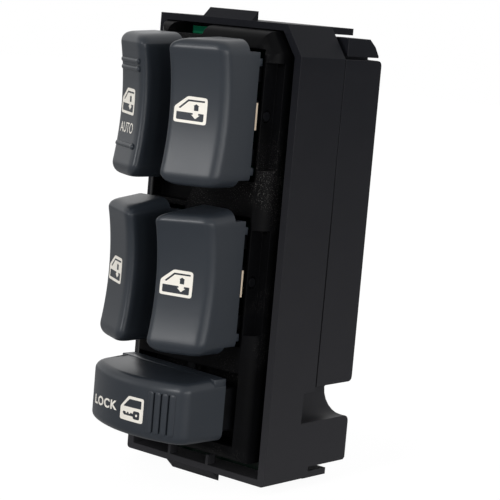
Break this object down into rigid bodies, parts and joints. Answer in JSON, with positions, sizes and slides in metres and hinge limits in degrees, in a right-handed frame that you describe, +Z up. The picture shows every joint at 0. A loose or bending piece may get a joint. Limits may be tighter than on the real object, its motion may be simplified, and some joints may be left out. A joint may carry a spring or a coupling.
{
  "type": "multi-purpose switch",
  "caption": "Driver's door switch with window rocker keys in two columns and a wide lock rocker, in an open-fronted snap-in housing with a rear cover and connector.",
  "frame": {"origin": "centre of the footprint, on the plane that the lower snap wedge's crest touches", "axes": "+Z up along the length of the housing, from the lock key to the front window keys; the keys face -Y; +X is the right-hand side seen from the keys"},
  "size_m": [0.0486, 0.061, 0.1229],
  "materials": {
    "housing": "fine-grained black moulding",
    "rear_cover": "fine-grained black moulding",
    "carrier": "smooth black moulding",
    "circuit_board": "green solder mask",
    "keys": "soft-touch slate grey paint with pale legends",
    "rockers": "smooth black moulding",
    "light_guides": "milky ivory moulding",
    "switch_blocks": "black moulding",
    "plungers": "natural white moulding",
    "lamps": "clear yellowish resin",
    "connector": "black moulding",
    "pins": "tin-plated",
    "screws": "zinc-plated"
  },
  "bodies": {
    "case": {"board_screw_1": "screws", "board_screw_2": "screws", "board_screw_3": "screws", "board_screw_4": "screws", "circuit_board": "circuit_board", "connector_header": "connector", "front_left_lamp": "lamps", "front_left_switch_block": "switch_blocks", "front_right_lamp": "lamps", "front_right_switch_block": "switch_blocks", "housing": "housing", "key_carrier": "carrier", "lock_lamp": "lamps", "lock_switch_block": "switch_blocks", "rear_cover": "rear_cover", "rear_left_lamp": "lamps", "rear_left_switch_block": "switch_blocks", "rear_right_lamp": "lamps", "rear_right_switch_block": "switch_blocks", "terminal_pin_01": "pins", "terminal_pin_02": "pins", "terminal_pin_03": "pins", "terminal_pin_04": "pins", "terminal_pin_05": "pins", "terminal_pin_06": "pins", "terminal_pin_07": "pins", "terminal_pin_08": "pins", "terminal_pin_09": "pins", "terminal_pin_10": "pins", "terminal_pin_11": "pins", "terminal_pin_12": "pins"},
    "front_left_key_set": {"front_left_key": "keys", "front_left_rocker": "rockers", "front_left_light_guide": "light_guides"},
    "front_left_plunger_a_slider": {"front_left_plunger_a": "plungers"},
    "front_left_plunger_b_slider": {"front_left_plunger_b": "plungers"},
    "front_right_key_set": {"front_right_key": "keys", "front_right_rocker": "rockers", "front_right_light_guide": "light_guides"},
    "front_right_plunger_a_slider": {"front_right_plunger_a": "plungers"},
    "front_right_plunger_b_slider": {"front_right_plunger_b": "plungers"},
    "rear_left_key_set": {"rear_left_key": "keys", "rear_left_rocker": "rockers", "rear_left_light_guide": "light_guides"},
    "rear_left_plunger_a_slider": {"rear_left_plunger_a": "plungers"},
    "rear_left_plunger_b_slider": {"rear_left_plunger_b": "plungers"},
    "rear_right_key_set": {"rear_right_key": "keys", "rear_right_rocker": "rockers", "rear_right_light_guide": "light_guides"},
    "rear_right_plunger_a_slider": {"rear_right_plunger_a": "plungers"},
    "rear_right_plunger_b_slider": {"rear_right_plunger_b": "plungers"},
    "lock_key_set": {"lock_key": "keys", "lock_rocker": "rockers", "lock_light_guide": "light_guides"},
    "lock_plunger_a_slider": {"lock_plunger_a": "plungers"},
    "lock_plunger_b_slider": {"lock_plunger_b": "plungers"}
  },
  "joints": [
    {"name": "front_left_window", "type": "hinge", "parent": "case", "child": "front_left_key_set", "pos_m": [-0.01101, -0.00682, 0.0971], "axis": [1, 0, 0], "range_deg": [-4.5, 4.5], "stiffness_Nm_per_rad": 0.1},
    {"name": "front_left_press_a", "type": "slide", "parent": "case", "child": "front_left_plunger_a_slider", "axis": [0, 1, 0], "range_m": [-0.0008, 0.0008]},
    {"name": "front_left_press_b", "type": "slide", "parent": "case", "child": "front_left_plunger_b_slider", "axis": [0, 1, 0], "range_m": [-0.0008, 0.0008]},
    {"name": "front_right_window", "type": "hinge", "parent": "case", "child": "front_right_key_set", "pos_m": [0.01101, -0.00682, 0.0971], "axis": [1, 0, 0], "range_deg": [-4.5, 4.5], "stiffness_Nm_per_rad": 0.1},
    {"name": "front_right_press_a", "type": "slide", "parent": "case", "child": "front_right_plunger_a_slider", "axis": [0, 1, 0], "range_m": [-0.0008, 0.0008]},
    {"name": "front_right_press_b", "type": "slide", "parent": "case", "child": "front_right_plunger_b_slider", "axis": [0, 1, 0], "range_m": [-0.0008, 0.0008]},
    {"name": "rear_left_window", "type": "hinge", "parent": "case", "child": "rear_left_key_set", "pos_m": [-0.01101, -0.00682, 0.055], "axis": [1, 0, 0], "range_deg": [-4.5, 4.5], "stiffness_Nm_per_rad": 0.1},
    {"name": "rear_left_press_a", "type": "slide", "parent": "case", "child": "rear_left_plunger_a_slider", "axis": [0, 1, 0], "range_m": [-0.0008, 0.0008]},
    {"name": "rear_left_press_b", "type": "slide", "parent": "case", "child": "rear_left_plunger_b_slider", "axis": [0, 1, 0], "range_m": [-0.0008, 0.0008]},
    {"name": "rear_right_window", "type": "hinge", "parent": "case", "child": "rear_right_key_set", "pos_m": [0.01101, -0.00682, 0.055], "axis": [1, 0, 0], "range_deg": [-4.5, 4.5], "stiffness_Nm_per_rad": 0.1},
    {"name": "rear_right_press_a", "type": "slide", "parent": "case", "child": "rear_right_plunger_a_slider", "axis": [0, 1, 0], "range_m": [-0.0008, 0.0008]},
    {"name": "rear_right_press_b", "type": "slide", "parent": "case", "child": "rear_right_plunger_b_slider", "axis": [0, 1, 0], "range_m": [-0.0008, 0.0008]},
    {"name": "lock", "type": "hinge", "parent": "case", "child": "lock_key_set", "pos_m": [0, -0.00682, 0.0221], "axis": [0, 0, 1], "range_deg": [0, 10.2]},
    {"name": "lock_press_a", "type": "slide", "parent": "case", "child": "lock_plunger_a_slider", "axis": [0, 1, 0], "range_m": [0, 0.00181]},
    {"name": "lock_press_b", "type": "slide", "parent": "case", "child": "lock_plunger_b_slider", "axis": [0, 1, 0], "range_m": [-0.00181, 0]}
  ],
  "couplings": [
    {"joint": "front_left_press_a", "follows": "front_left_window", "m_per_rad": -0.01},
    {"joint": "front_left_press_b", "follows": "front_left_window", "m_per_rad": 0.01},
    {"joint": "front_right_press_a", "follows": "front_right_window", "m_per_rad": -0.01},
    {"joint": "front_right_press_b", "follows": "front_right_window", "m_per_rad": 0.01},
    {"joint": "rear_left_press_a", "follows": "rear_left_window", "m_per_rad": -0.01},
    {"joint": "rear_left_press_b", "follows": "rear_left_window", "m_per_rad": 0.01},
    {"joint": "rear_right_press_a", "follows": "rear_right_window", "m_per_rad": -0.01},
    {"joint": "rear_right_press_b", "follows": "rear_right_window", "m_per_rad": 0.01},
    {"joint": "lock_press_a", "follows": "lock", "m_per_rad": 0.01},
    {"joint": "lock_press_b", "follows": "lock", "m_per_rad": -0.01}
  ]
}
